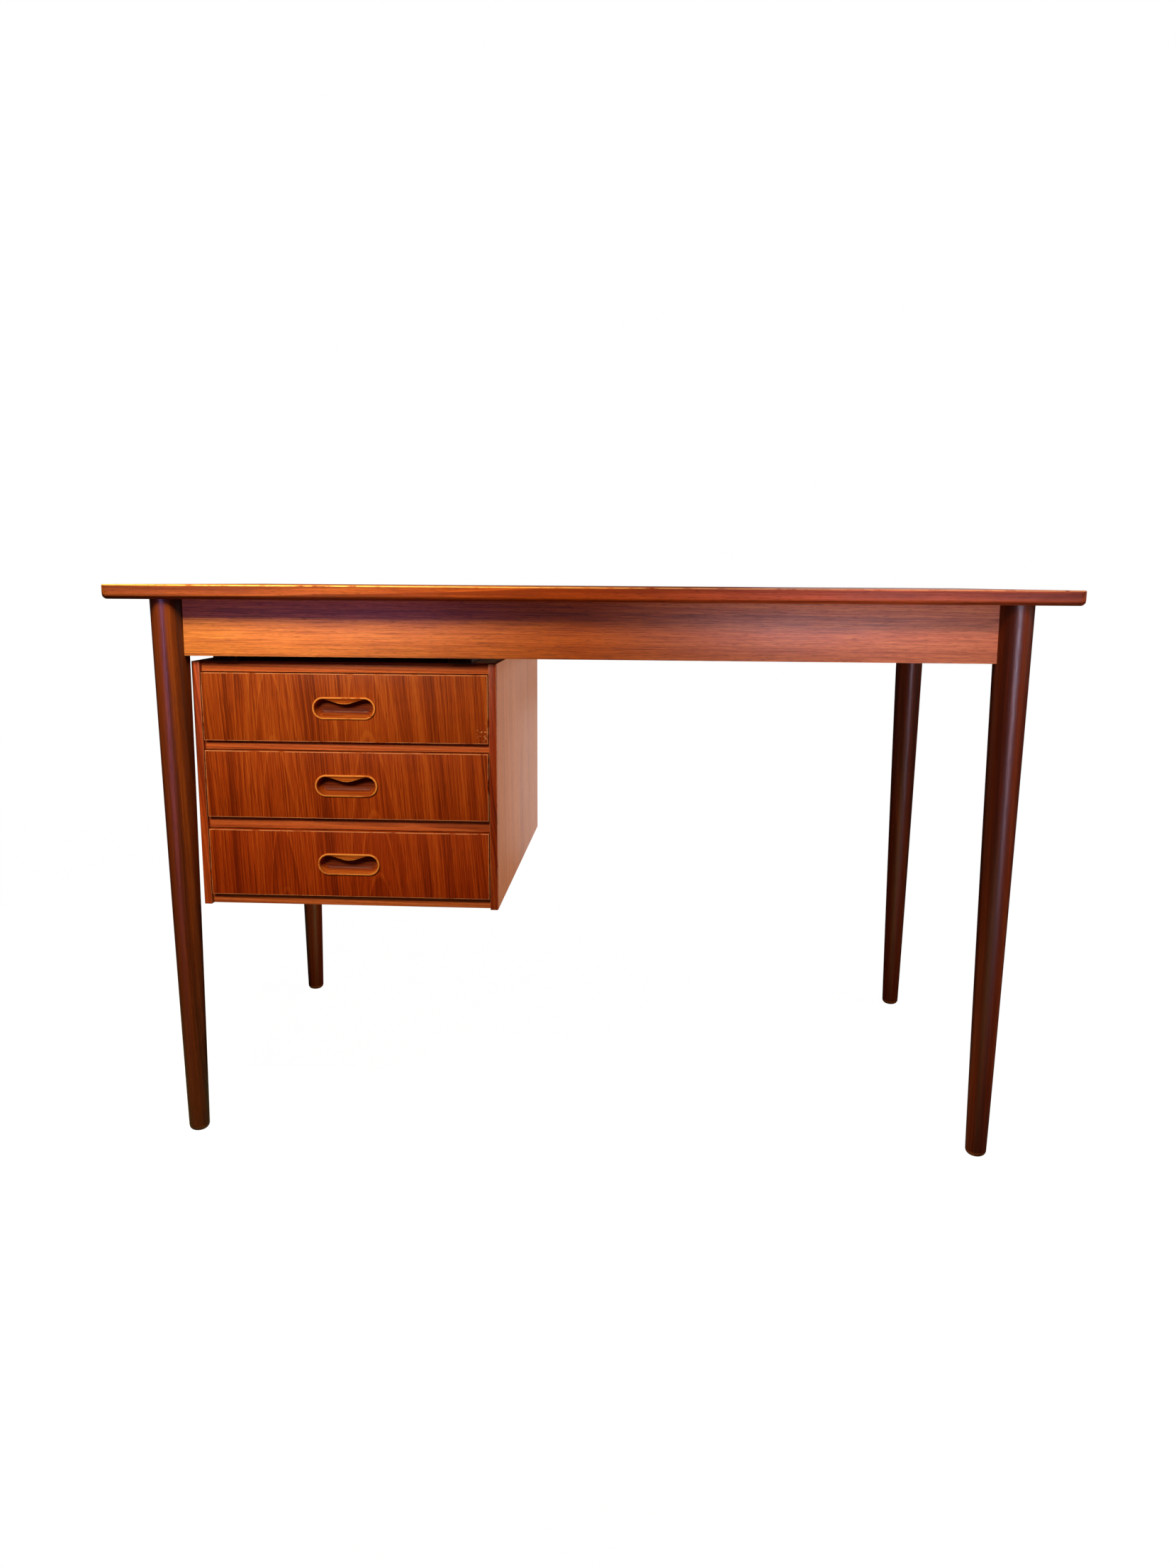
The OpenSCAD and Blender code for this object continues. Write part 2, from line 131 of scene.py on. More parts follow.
def putSurface(tree, colour, roughness, height, strength, distance, more):
    values = {"Height": height, "Strength": strength, "Distance": distance}
    bump = addNode(tree, "ShaderNodeBump", values).outputs[0]
    values = {"Base Color": colour, "Roughness": roughness, "Normal": bump, **more}
    shader = addNode(tree, "ShaderNodeBsdfPrincipled", values)
    out = addNode(tree, "ShaderNodeOutputMaterial")
    tree.links.new(shader.outputs[0], out.inputs[0])


# What can be changed for each wood. Colours are linear and sizes are in metres.
woodLook = {
    "grain": "Z",  # the axis that the grain runs along
    "dark": (0.14, 0.024, 0.004),
    "mid": (0.32, 0.055, 0.008),
    "light": (0.48, 0.11, 0.02),
    "worn": (0.62, 0.27, 0.1),  # the rubbed edges, on some pieces also a painted highlight along the edge
    "heart": (-0.1, 0.06),  # where the heart of the log lies, across and deep
    "tilt": (0.0, 0.1),  # how fast the heart leans away, across and deep
    "pair": None,  # two leaves of veneer: their joint, the heart's distance from it, and a step in depth
    "leaf": None,  # many leaves of veneer: their width, and their slip along the grain
    "ring": 0.0055,  # one year's growth
    "wobble": 0.010,
    "wobbleSize": 0.42,
    "ripple": 0.0006,
    "ringDepth": 0.9,
    "bandDepth": 0.7,
    "streakDepth": 0.6,
    "lineDepth": 0.5,
    "poreDepth": 0.35,
    "streakSize": (0.0022, 0.12),  # across and along the grain
    "poreSize": (0.0007, 0.011),
    "gloss": 0.42,
    "glossSpread": 0.12,
    "shine": 0.35,
    "grainBump": 0.00006,
    "wearShare": 0.45,
    "tint": None,  # painted light and shade: hues from one end of a sheet to the other: axis, start, stop and the hues
    "chips": None,  # a knocked corner: where it is, and how far the chips reach
}

# What all the woods have in common.
woodHabits = {
    "leafStep": 0.93,  # a leaf comes from nearly a leaf's width further into the log
    "pairSlip": 0.37,
    "swayRate": (4.0, 4.0, 1.0),  # rings sway more quickly across the log than along it
    "swayDetail": (1.0, 0.4),
    "rippleRate": 5,  # ripples in one sway
    "unevenRate": 60.0,  # wide and narrow years
    "unevenShare": 2.2,
    "lateWood": (0.15, 0.72, 1.0, 0.8),  # the dark part of a year
    "paleLine": (0.84, 0.93, 1.0, 0.95),  # the pale line where the year ends
    "ringHold": (0.3, 0.7, 0.55, 1.0),  # the rings fade out where the patches are weak
    "bandRate": 0.23,  # bands of about four years
    "patchRate": (16.0, 16.0, 2.6),
    "middleTone": 0.52,
    "bandGain": 2.4,
    "streakGain": 2.2,
    "ringGain": 0.5,
    "lineGain": 1.6,
    "patchGain": 0.35,
    "poreEdge": (0.56, 0.70),
    "poreShade": 0.45,
    "poreRoughness": 0.2,
    "rubRate": 55.0,
    "rubEdge": (0.30, 0.52),
    "chipRate": 420.0,
    "chipEdge": (0.60, 0.64),
    "chipCore": 0.3,
    "handledRate": 9.0,
    "streakHeight": 0.5,
    "ringHeight": 0.25,
    "bumpStrength": 0.6,
}


def logPlace(tree, look, split):
    # the place across, deep in and along the log, and its reach from the heart
    order = {"X": (1, 2, 0), "Y": (0, 2, 1), "Z": (0, 1, 2)}[look["grain"]]
    across, deep, along = (split[i] for i in order)
    if look["leaf"]:  # each leaf is a little different from the next
        width, slip = look["leaf"]
        number = calc(tree, "FLOOR", calc(tree, "DIVIDE", across, width))
        back = calc(tree, "MULTIPLY", number, width * woodHabits["leafStep"])
        across = calc(tree, "SUBTRACT", across, back)
        along = calc(tree, "ADD", along, calc(tree, "MULTIPLY", number, slip))
    if look["pair"]:  # each of the two leaves has its own crown figure
        joint, arm, step = look["pair"]
        fromJoint = calc(tree, "SUBTRACT", across, joint)
        side = calc(tree, "SIGN", fromJoint)
        fromHeart = calc(tree, "MULTIPLY_ADD", side, -arm, fromJoint)
        deep = calc(tree, "MULTIPLY_ADD", side, step, deep)
        along = calc(tree, "MULTIPLY_ADD", side, woodHabits["pairSlip"], along)
    else:
        fromHeart = calc(tree, "SUBTRACT", across, look["heart"][0])
    slow = stretched(tree, "MULTIPLY", (across, deep, along), woodHabits["swayRate"])
    for amount, rate in ((look["wobble"], 1), (look["ripple"], woodHabits["rippleRate"])):
        sway = offMiddle(tree, noise(tree, slow, rate / look["wobbleSize"], *woodHabits["swayDetail"]))
        fromHeart = calc(tree, "MULTIPLY_ADD", sway, amount * 2, fromHeart)
    lean = calc(tree, "MULTIPLY_ADD", along, look["tilt"][0], fromHeart)
    fromHeart = calc(tree, "SUBTRACT", deep, look["heart"][1])
    leanDeep = calc(tree, "MULTIPLY_ADD", along, look["tilt"][1], fromHeart)
    flat = joined(tree, lean, leanDeep, 0.0)
    reach = addNode(tree, "ShaderNodeVectorMath", {0: flat}, operation="LENGTH").outputs["Value"]
    uneven = lineNoise(tree, reach, woodHabits["unevenRate"])
    reach = calc(tree, "MULTIPLY_ADD", uneven, look["ring"] * woodHabits["unevenShare"], reach)
    return (lean, deep, along), reach


def woodWearAndHighlight(tree, look, place):
    # marked edges are rubbed light in places; on the pulls, the drawer fronts and the top's upper edge this
    # pale colour also stands for a painted highlight
    arris = addNode(tree, "ShaderNodeAttribute", attribute_name="arris").outputs["Fac"]
    rub = remap(tree, noise(tree, place, woodHabits["rubRate"], 3.0, 0.6), *woodHabits["rubEdge"])
    wear = calc(tree, "MULTIPLY", calc(tree, "MULTIPLY", arris, rub), look["wearShare"])
    if look["chips"]:
        corner, size = look["chips"]
        away = addNode(tree, "ShaderNodeVectorMath", {0: place, 1: corner}, operation="DISTANCE")
        near = remap(tree, away.outputs["Value"], size, size * woodHabits["chipCore"])
        flakes = noise(tree, place, woodHabits["chipRate"], 2.0, 0.6)
        flakes = remap(tree, flakes, *woodHabits["chipEdge"])
        wear = calc(tree, "MAXIMUM", wear, calc(tree, "MULTIPLY", near, flakes))
    return wear


def wood(name, **changes):
    look = {**woodLook, **changes}
    habits = woodHabits
    made, tree = newMaterial(name)
    place = addNode(tree, "ShaderNodeTexCoord").outputs["Object"]
    split = addNode(tree, "ShaderNodeSeparateXYZ", {0: place}).outputs
    inLog, reach = logPlace(tree, look, split)

    count = calc(tree, "DIVIDE", reach, look["ring"])
    phase = calc(tree, "FRACT", count)
    lateWood = pulse(tree, phase, *habits["lateWood"])
    paleLine = pulse(tree, phase, *habits["paleLine"])
    bands = lineNoise(tree, count, habits["bandRate"], 2.0)
    fine, long = look["streakSize"]
    streaks = noise(tree, stretched(tree, "DIVIDE", inLog, (fine, fine, long)), 1.0, 4.0, 0.68)
    fine, long = look["poreSize"]
    pores = noise(tree, stretched(tree, "DIVIDE", inLog, (fine, fine, long)), 1.0, 1.0, 0.4)
    pores = remap(tree, pores, *habits["poreEdge"])
    patches = noise(tree, stretched(tree, "MULTIPLY", inLog, habits["patchRate"]))

    gain = look["bandDepth"] * habits["bandGain"]
    tone = calc(tree, "MULTIPLY_ADD", offMiddle(tree, bands), gain, habits["middleTone"])
    gain = look["streakDepth"] * habits["streakGain"]
    tone = calc(tree, "MULTIPLY_ADD", offMiddle(tree, streaks), gain, tone)
    hold = remap(tree, patches, *habits["ringHold"])
    gain = calc(tree, "MULTIPLY", hold, look["ringDepth"] * habits["ringGain"])
    tone = calc(tree, "SUBTRACT", tone, calc(tree, "MULTIPLY", lateWood, gain))
    gain = calc(tree, "MULTIPLY", patches, look["lineDepth"] * habits["lineGain"])
    tone = calc(tree, "MULTIPLY_ADD", calc(tree, "MULTIPLY", paleLine, streaks), gain, tone)
    tone = calc(tree, "MULTIPLY_ADD", offMiddle(tree, patches), habits["patchGain"], tone, clamp=True)

    colour = ramp(tree, tone, [(0.0, look["dark"]), (0.5, look["mid"]), (1.0, look["light"])])
    poreShare = calc(tree, "MULTIPLY", pores, look["poreDepth"])
    poreColour = (*(part * habits["poreShade"] for part in look["dark"]), 1.0)
    colour = blendColours(tree, poreShare, colour, poreColour)
    # painted light and shade: the colour is multiplied by hues that change along one axis, in place of light
    # that falls unevenly
    if look["tint"]:
        axis, start, stop, paintedLightHues = look["tint"]
        share = remap(tree, split["XYZ".index(axis)], start, stop, smooth=False)
        paintedLightHue = ramp(tree, share, [(n / (len(paintedLightHues) - 1), paintedLightHue) for n, paintedLightHue in enumerate(paintedLightHues)])
        colour = blendColours(tree, 1.0, colour, paintedLightHue, "MULTIPLY")
    colour = blendColours(tree, woodWearAndHighlight(tree, look, place), colour, (*look["worn"], 1.0))

    spread = look["glossSpread"]
    sheen = calc(tree, "MULTIPLY_ADD", streaks, spread, look["gloss"] - spread / 2)
    handled = offMiddle(tree, noise(tree, place, habits["handledRate"], 3.0, 0.55))
    sheen = calc(tree, "MULTIPLY_ADD", handled, spread, sheen)
    sheen = calc(tree, "MULTIPLY_ADD", poreShare, habits["poreRoughness"], sheen, clamp=True)
    height = calc(tree, "SUBTRACT", calc(tree, "MULTIPLY", streaks, habits["streakHeight"]), pores)
    height = calc(tree, "MULTIPLY_ADD", lateWood, habits["ringHeight"], height)
    putSurface(tree, colour, sheen, height, habits["bumpStrength"], look["grainBump"],
               {"Specular IOR Level": look["shine"]})
    return made


steelLook = {
    "dull": (0.42, 0.40, 0.36),
    "clean": (0.62, 0.60, 0.55),
    "stainRate": 60.0,
    "markRate": 900.0,
    "polish": (0.28, 0.5),  # roughness between the marks and in them
    "bumpStrength": 0.3,
    "markBump": 0.00005,
}


def steel(name):
    look = steelLook
    made, tree = newMaterial(name)
    place = addNode(tree, "ShaderNodeTexCoord").outputs["Object"]
    marks = noise(tree, place, look["markRate"], 3.0, 0.6)
    stain = noise(tree, place, look["stainRate"])
    colour = ramp(tree, stain, [(0.3, look["dull"]), (0.7, look["clean"])])
    polish = remap(tree, marks, 0.3, 0.7, *look["polish"])
    putSurface(tree, colour, polish, marks, look["bumpStrength"], look["markBump"], {"Metallic": 1.0})
    return made


# The desk's woods. Those cut from the same boards share a look.

frontLow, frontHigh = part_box("top_drawer_front")
frontMiddle = (frontLow.x + frontHigh.x) / 2
knockedCorner = Vector((frontHigh.x, frontLow.y, frontLow.z)) + Vector((-0.001, 0.0, 0.014))
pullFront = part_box("top_drawer_pull")[0].y

apronLook = dict(
    dark=(0.21, 0.042, 0.012), tilt=(0.012, 0.02), ring=0.0042, wobble=0.004, ringDepth=0.35,
    bandDepth=0.4, streakDepth=0.9, streakSize=(0.0011, 0.07), poreSize=(0.0006, 0.012),
    poreDepth=0.55, gloss=0.46)
edgingLook = dict(
    dark=(0.20, 0.030, 0.006), mid=(0.40, 0.070, 0.014), light=(0.54, 0.115, 0.026),
    tilt=(0.01, 0.02), ring=0.0045, wobble=0.004, poreDepth=0.5, gloss=0.42, wearShare=0.8)
oakLook = dict(
    dark=(0.33, 0.20, 0.10), mid=(0.52, 0.36, 0.20), light=(0.64, 0.48, 0.30),
    worn=(0.7, 0.55, 0.38), tilt=(0.01, 0.03), ring=0.0045, gloss=0.55, poreDepth=0.4, wearShare=0.3)
beechLook = dict(
    dark=(0.38, 0.22, 0.12), mid=(0.56, 0.37, 0.22), light=(0.66, 0.47, 0.31),
    worn=(0.7, 0.52, 0.36), ring=0.005, poreSize=(0.0004, 0.002), wearShare=0.3)

materials = {
    "frontVeneer": wood(
        "front_veneer", dark=(0.17, 0.022, 0.003), mid=(0.36, 0.052, 0.0055),
        # the pale worn colour along the outline is partly rubbing and partly a painted highlight on the edges
        light=(0.50, 0.105, 0.013), worn=(0.78, 0.30, 0.12), pair=(frontMiddle, 0.083, 0.004),
        heart=(0, -0.322), tilt=(0.06, 0.035), ring=0.0038, ripple=0.0011, wobble=0.008,
        ringDepth=0.40, lineDepth=0.9, bandDepth=0.75, streakDepth=1.25, streakSize=(0.0014, 0.13),
        poreSize=(0.0006, 0.022), poreDepth=0.45, shine=0.08, wearShare=0.9,
        # painted shade: the fronts are coloured darker and redder towards the bottom, where less light falls
        tint=("Z", 0.30, 0.62, ((0.95, 0.56, 0.3), (1.0, 1.0, 0.9))),
        chips=(knockedCorner, 0.018)),
    "apronVeneer": wood(
        "apron_veneer", grain="X", mid=(0.52, 0.125, 0.034), light=(0.68, 0.20, 0.055),
        heart=(0.0, 0.4), wobbleSize=0.50, shine=0.4,
        # painted light: warm at the left end, darker in the middle and bluer at the right end, as coloured
        # light falls on the apron
        tint=("X", -0.5, 0.5, (
            (1.0, 1.0, 0.65), (1.0, 0.95, 0.7), (0.92, 0.60, 0.15), (1.0, 1.0, 1.0), (1.0, 1.1, 1.3))),
        **apronLook),
    "apronEnds": wood(
        "apron_ends", grain="Y", mid=(0.50, 0.115, 0.030), light=(0.66, 0.19, 0.050),
        heart=(0.5, 0.4), **apronLook),
    "topVeneer": wood(
        "top_veneer", grain="X", dark=(0.20, 0.036, 0.008), mid=(0.42, 0.082, 0.016),
        light=(0.56, 0.14, 0.03), heart=(0.075, 0.66), tilt=(0.03, 0.05), leaf=(0.142, 0.31),
        ring=0.0052, wobbleSize=0.50, gloss=0.40),
    "edgingWood": wood(
        "edging_wood", grain="X", heart=(0.0, 0.62), wobbleSize=0.50, shine=0.12,
        # painted light: dimmer at the ends, bright orange in the middle and bluer to the right, as light
        # falls along the edging
        tint=("X", -0.595, 0.595, (
            (0.6, 0.6, 0.5), (0.8, 0.85, 0.8), (1.35, 1.0, 0.4), (1.25, 1.15, 1.2), (0.75, 0.75, 0.9))),
        **edgingLook),
    "edgingEnds": wood("edging_ends", grain="Y", heart=(0.5, 0.62), **edgingLook),
    "sideVeneer": wood(
        "side_veneer", dark=(0.28, 0.080, 0.024), mid=(0.47, 0.155, 0.050), light=(0.60, 0.22, 0.08),
        heart=(-0.20, 0.05), tilt=(0.0, 0.09), ring=0.0060, ringDepth=0.3, bandDepth=0.3,
        streakSize=(0.0014, 0.13), gloss=0.46, glossSpread=0.08, shine=0.5),
    "lippingWood": wood(
        "lipping_wood", dark=(0.20, 0.023, 0.004), mid=(0.44, 0.058, 0.010), light=(0.60, 0.12, 0.028),
        heart=(-0.30, -0.24), tilt=(0.09, 0.05), ring=0.0065, wobble=0.012, wobbleSize=0.25,
        # painted light: the left lipping is coloured lighter and the right one darker, as light falls on them
        ringDepth=0.8, shine=0.15, tint=("X", -0.50, -0.11, ((1.2, 1.15, 0.9), (0.66, 0.5, 0.35)))),
    "railWood": wood(
        "rail_wood", grain="X", dark=(0.30, 0.045, 0.008), mid=(0.64, 0.130, 0.028),
        light=(0.78, 0.20, 0.05), heart=(-0.22, 0.42), tilt=(0.01, 0.02), ring=0.0040, wobble=0.004),
    "legWood": wood(
        "leg_wood", dark=(0.050, 0.0068, 0.0010), mid=(0.106, 0.0140, 0.0016),
        light=(0.165, 0.027, 0.0036), worn=(0.36, 0.13, 0.045), heart=(0.09, -0.33),
        tilt=(0.012, 0.02), ring=0.0038, wobble=0.005, ringDepth=0.6, gloss=0.36, glossSpread=0.10,
        shine=0.32),
    "pullWood": wood(  # painted shade: the hollow is coloured darker and bluer, the deeper it goes
        "pull_wood", grain="X", dark=(0.34, 0.050, 0.006), mid=(0.58, 0.115, 0.014),
        # the pale worn colour on the rim is partly rubbing and partly a painted highlight
        light=(0.74, 0.20, 0.03), worn=(0.95, 0.33, 0.06), heart=(-0.20, 0.43), tilt=(0.02, 0.03),
        ring=0.0030, wobble=0.004, wobbleSize=0.15, gloss=0.38, glossSpread=0.06, shine=0.07,
        wearShare=0.8, tint=("Y", pullFront, pullFront + 0.0135, (
            (1.0, 1.0, 1.0), (1.0, 0.98, 0.95), (0.95, 0.85, 0.8), (0.62, 0.50, 0.55),
            (0.26, 0.20, 0.45)))),
    "oakWood": wood("oak_wood", grain="Y", heart=(-0.2, 0.4), **oakLook),
    "oakBack": wood("oak_back", grain="X", heart=(0.0, 0.4), **oakLook),
    "plywood": wood(
        "plywood", grain="X", dark=(0.40, 0.24, 0.12), mid=(0.55, 0.38, 0.22), light=(0.66, 0.50, 0.33),
        worn=(0.7, 0.55, 0.38), heart=(0.03, 0.1), tilt=(0.02, 0.05), ring=0.009, wobble=0.02,
        gloss=0.58, wearShare=0.3),
    "beechWood": wood(
        "beech_wood", grain="X", heart=(0.1, 0.5), tilt=(0.02, 0.03), gloss=0.55, **beechLook),
    "beechRunner": wood("beech_runner", grain="Y", heart=(-0.3, 0.5), gloss=0.5, **beechLook),
    # painted shade: the beech bearers are coloured nearly black, so that the gap between apron and cabinet
    # reads as shadow
    "bearerPaintedShade": wood(
        "bearer_wood", grain="Y", dark=(0.020, 0.008, 0.004), mid=(0.040, 0.015, 0.007),
        light=(0.065, 0.026, 0.012), worn=(0.1, 0.05, 0.03), heart=(-0.3, 0.5), gloss=0.6, shine=0.1),
    "steel": steel("screw_steel"),
}
print("woods mixed:", len(materials))


# Small helpers for the pieces' meshes.

easedSettings = {
    "arris": 0.6 * mm,  # taken off the outer corners of every board
    "frontArris": 0.9 * mm,  # and off the outline of a drawer front
    "leastLength": 6 * mm,  # shorter edges are left alone
    "segments": 2,
    "leastAngle": 40,
}


def markArris(bm, faces, share=1.0):
    layer = bm.loops.layers.float.get("arris") or bm.loops.layers.float.new("arris")
    for face in faces:
        for loop in face.loops:
            loop[layer] = share


def bevelEdges(bm, edges, size, segments=2, mark=True):
    made = bmesh.ops.bevel(bm, geom=list(edges), offset=size, offset_type="OFFSET", segments=segments,
                           profile=0.5, affect="EDGES", clamp_overlap=True, material=-1)
    if mark:
        markArris(bm, made["faces"])


def finishPiece(bm, name, body, material, nodes, sharpAngle=35, roundAll=False):
    mesh = bpy.data.meshes.new(name)
    bm.to_mesh(mesh)
    bm.free()
    if "custom_normal" in mesh.attributes:  # the copied shading would bend the flat faces
        mesh.attributes.remove(mesh.attributes["custom_normal"])
    for face in mesh.polygons:  # flats stay flat, so that an eased edge doesn't shade into them
        face.use_smooth = roundAll or max(abs(part) for part in face.normal) < 0.999
    mesh.set_sharp_from_angle(angle=math.radians(sharpAngle))
    made = bpy.data.objects.new(name, mesh)
    bpy.context.scene.collection.objects.link(made)
    mesh.materials.append(materials[material])
    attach(made, body)
    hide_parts(*nodes)
    return made


def boxMesh(low, high):
    bm = bmesh.new()
    bm.loops.layers.float.new("arris")
    place = Matrix.Translation((low + high) / 2) @ Matrix.Diagonal((*(high - low), 1.0))
    bmesh.ops.create_cube(bm, size=1.0, matrix=place)
    return bm


def copyOf(node):
    # a merged copy of a CAD node's mesh, with its flat faces joined up again
    bm = bmesh.new()
    bm.from_mesh(frame["nodes"][node].data)
    bmesh.ops.remove_doubles(bm, verts=bm.verts[:], dist=0.005 * mm)
    bmesh.ops.dissolve_limit(bm, angle_limit=math.radians(1.0), verts=bm.verts[:], edges=bm.edges[:])
    if not bm.loops.layers.float.get("arris"):
        bm.loops.layers.float.new("arris")
    return bm


def sharpEdges(bm):
    leastAngle = math.radians(easedSettings["leastAngle"])
    found = []
    for edge in bm.edges:
        if len(edge.link_faces) == 2 and edge.calc_length() > easedSettings["leastLength"]:
            if edge.is_convex and edge.calc_face_angle(0.0) > leastAngle:
                found.append(edge)
    return found


def onOutline(place, low, high, near=0.05 * mm):
    sides = (place.x - low.x, high.x - place.x, place.z - low.z, high.z - place.z)
    return place.y - low.y < near and min(sides) < near


def easedCopy(node, body, material, outlineArris=None):
    # the CAD board with its outer corners eased, as a cabinet maker takes them off with sandpaper
    bm = copyOf(node)
    edges = sharpEdges(bm)
    if outlineArris:  # only the outline of the front
        low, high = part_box(node)
        edges = [e for e in edges if all(onOutline(v.co, low, high) for v in e.verts)]
    bevelEdges(bm, edges, outlineArris or easedSettings["arris"], easedSettings["segments"])
    finishPiece(bm, node + "_eased", body, material, [node])


# The top: a veneered panel in a mitred edging.

topSettings = {
    "cornerRadius": 8 * mm,
    "cornerSteps": 10,
    "lowerEdge": 6 * mm,
    "lowerSteps": 8,
    "upperEdge": 1.5 * mm,
    "upperSteps": 4,
    "edging": 12 * mm,
    "jointLine": 0.06 * mm,  # hairline at the mitres and round the veneered panel
    "panelCuts": 6,
    "near": 0.001 * mm,
}


def topBlank(low, high):
    bm = boxMesh(low, high)
    upright = [e for e in bm.edges if abs(e.verts[0].co.z - e.verts[1].co.z) > 1 * mm]
    bevelEdges(bm, upright, topSettings["cornerRadius"], topSettings["cornerSteps"], False)
    # only the upper edge takes the pale worn colour: partly rubbing, partly a painted highlight along the
    # top's upper arris
    for level, which, worn in ((low.z, "lower", False), (high.z, "upper", True)):
        rim = [e for e in bm.edges if all(abs(v.co.z - level) < topSettings["near"] for v in e.verts)]
        bevelEdges(bm, rim, topSettings[which + "Edge"], topSettings[which + "Steps"], worn)
    return bm


def sliced(bm, point, normal):
    # keeps what lies behind the plane, and closes the cut
    cut = bmesh.ops.bisect_plane(bm, geom=bm.verts[:] + bm.edges[:] + bm.faces[:], clear_outer=True,
                                 dist=topSettings["near"], plane_co=point, plane_no=normal)
    edges = [g for g in cut["geom_cut"] if isinstance(g, bmesh.types.BMEdge)]
    bmesh.ops.holes_fill(bm, edges=edges, sides=0)


def makeTop():
    low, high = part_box("top_edging_front")
    for side in ("back", "left", "right"):
        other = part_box("top_edging_" + side)
        low = Vector(map(min, low, other[0]))
        high = Vector(map(max, high, other[1]))
    gap = topSettings["jointLine"]
    width = topSettings["edging"]
    frontLeft, frontRight = Vector((low.x, low.y, 0)), Vector((high.x, low.y, 0))
    backLeft, backRight = Vector((low.x, high.y, 0)), Vector((high.x, high.y, 0))
    strips = {
        "front": (frontLeft, frontRight, Vector((0, 1, 0)), "edgingWood"),
        "right": (frontRight, backRight, Vector((-1, 0, 0)), "edgingEnds"),
        "back": (backRight, backLeft, Vector((0, -1, 0)), "edgingWood"),
        "left": (backLeft, frontLeft, Vector((1, 0, 0)), "edgingEnds"),
    }
    for side, (start, end, inward, material) in strips.items():
        bm = topBlank(low, high)
        run = (end - start).normalized()
        sliced(bm, start + inward * width, inward)
        sliced(bm, start + run * gap, (inward - run).normalized())
        sliced(bm, end - run * gap, (inward + run).normalized())
        node = "top_edging_" + side
        finishPiece(bm, node + "_shaped", "root", material, [node], 50)
    panelLow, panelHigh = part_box("top_panel")
    inset = Vector((gap, gap, 0))
    bm = boxMesh(panelLow + inset, panelHigh - inset)
    long = [e for e in bm.edges if e.calc_length() > 1.0]
    bmesh.ops.subdivide_edges(bm, edges=long, cuts=topSettings["panelCuts"])
    finishPiece(bm, "top_panel_veneered", "root", "topVeneer", ["top_panel"])


makeTop()
print("top laid")


# The legs: turned round, with a slight swell and a rounded foot.

legSettings = {
    "topRadius": 22.5 * mm,
    "footRadius": 13.2 * mm,
    "swell": 0.7 * mm,
    "footEdge": 7 * mm,
    "footSteps": 6,
    "rings": 18,
    "turns": 64,
    "wornFoot": 8.4 * mm,  # rubbed up to this height
}


def legProfile(height):
    # radius and height, from the middle of the foot to the middle of the top
    foot = legSettings["footEdge"]
    start = legSettings["footRadius"]
    profile = [(0.0, 0.0)]
    for step in range(legSettings["footSteps"] + 1):
        turn = math.radians(90 * step / legSettings["footSteps"])
        profile.append((start - foot + foot * math.sin(turn), foot - foot * math.cos(turn)))
    for step in range(1, legSettings["rings"] + 1):
        z = foot + (height - foot) * step / legSettings["rings"]
        share = z / height
        radius = start + (legSettings["topRadius"] - start) * share
        profile.append((radius + legSettings["swell"] * 4 * share * (1 - share), z))
    return profile + [(0.0, height)]


def makeLeg(node):
    low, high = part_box(node)
    centre = (low + high) / 2
    bm = bmesh.new()
    bm.loops.layers.float.new("arris")
    profile = legProfile(high.z - low.z)
    verts = [bm.verts.new((centre.x + radius, centre.y, low.z + z)) for radius, z in profile]
    edges = [bm.edges.new((a, b)) for a, b in zip(verts, verts[1:])]
    bmesh.ops.spin(bm, geom=verts + edges, cent=(centre.x, centre.y, 0), axis=(0, 0, 1),
                   angle=math.tau, steps=legSettings["turns"], use_merge=True)
    bmesh.ops.remove_doubles(bm, verts=bm.verts[:], dist=0.01 * mm)
    bmesh.ops.recalc_face_normals(bm, faces=bm.faces[:])
    markArris(bm, [f for f in bm.faces if f.calc_center_median().z < legSettings["wornFoot"]])
    finishPiece(bm, node + "_turned", "root", "legWood", [node], 50)


for corner in ("front_left", "front_right", "back_left", "back_right"):
    makeLeg("leg_" + corner)
print("legs turned")


# The boards of the frame and the cabinet: their wood, and the slot it is kept under.

boardList = {
    "apron_front": ("apronVeneer", "teak_veneer"),
    "apron_back": ("apronVeneer", "teak_veneer"),
    "apron_left": ("apronEnds", "teak_veneer"),
    "apron_right": ("apronEnds", "teak_veneer"),
    "cabinet_side_left": ("sideVeneer", "teak_veneer"),
    "cabinet_side_right": ("sideVeneer", "teak_veneer"),
    "cabinet_lipping_left": ("lippingWood", "teak_solid"),
    "cabinet_lipping_right": ("lippingWood", "teak_solid"),
    "top_rail": ("railWood", "teak_solid"),
    "upper_divider_rail": ("railWood", "teak_solid"),
    "lower_divider_rail": ("railWood", "teak_solid"),
    "bottom_rail": ("railWood", "teak_solid"),
    "cabinet_top": ("plywood", "plywood"),
    "cabinet_bottom": ("plywood", "plywood"),
    "cabinet_back": ("plywood", "plywood"),
    "bearer_left": ("bearerPaintedShade", "beech"),
    "bearer_right": ("bearerPaintedShade", "beech"),
}
for node, (material, slotName) in boardList.items():
    easedCopy(node, "root", material)
print("boards eased:", len(boardList))


# The drawers, each with a carved pull let into its front.

